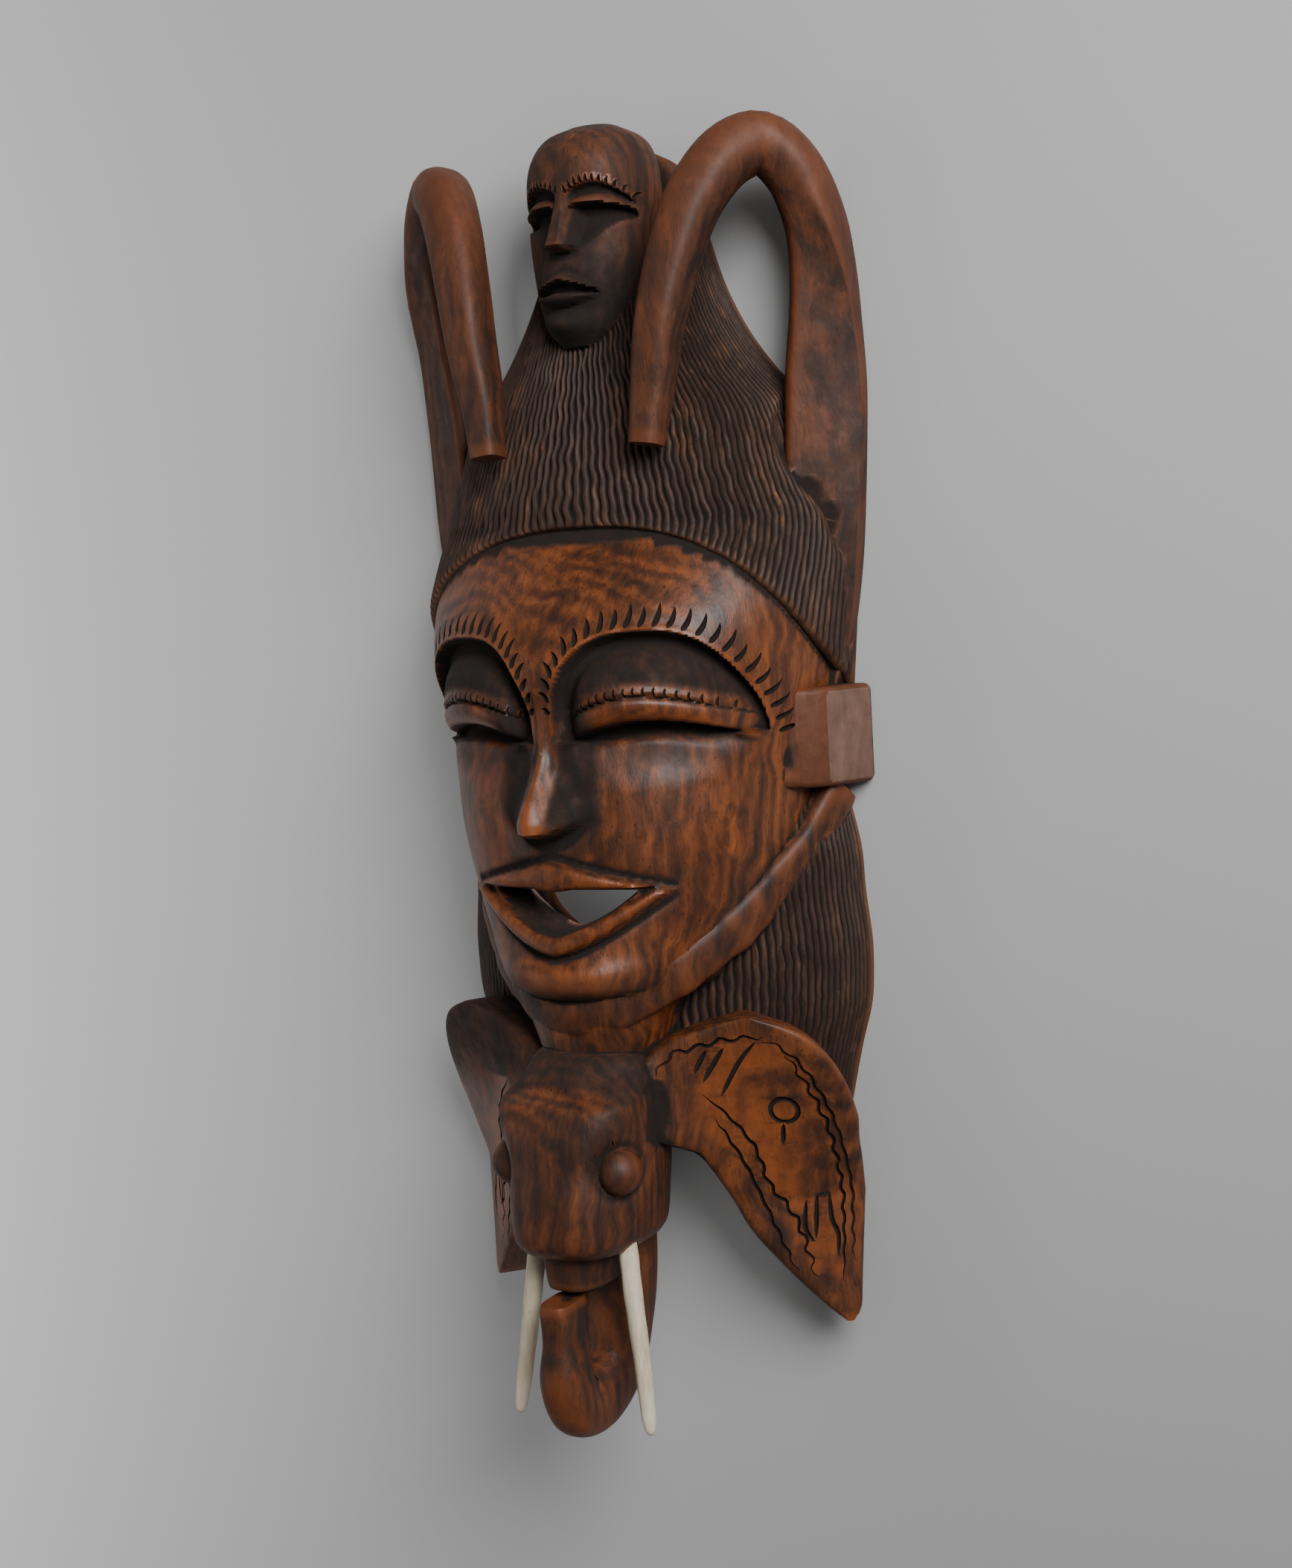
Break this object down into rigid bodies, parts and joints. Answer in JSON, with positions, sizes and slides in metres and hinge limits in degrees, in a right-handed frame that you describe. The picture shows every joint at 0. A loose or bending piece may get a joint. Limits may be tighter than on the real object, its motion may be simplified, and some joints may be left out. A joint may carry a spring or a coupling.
{
  "type": "carved wooden wall mask",
  "caption": "Carved hardwood wall mask: a face under grooved hair with a small head on top, looped horns, and an elephant's head with pale tusks below the chin.",
  "frame": {"origin": "on the back plane, under the middle of the mask's length and width", "axes": "+Y up the mask's length towards the small head, +Z out of its front, +X to the viewer's right"},
  "size_m": [0.2424, 0.6075, 0.1346],
  "materials": {
    "carved_wood": "reddish-brown hardwood, stained dark in the cuts and waxed to a satin shine",
    "tusk_bone": "cream-coloured bone, smoothed and matt"
  },
  "bodies": {
    "root": {"mask_body": "carved_wood", "tusk_left": "tusk_bone", "tusk_right": "tusk_bone"}
  },
  "joints": []
}
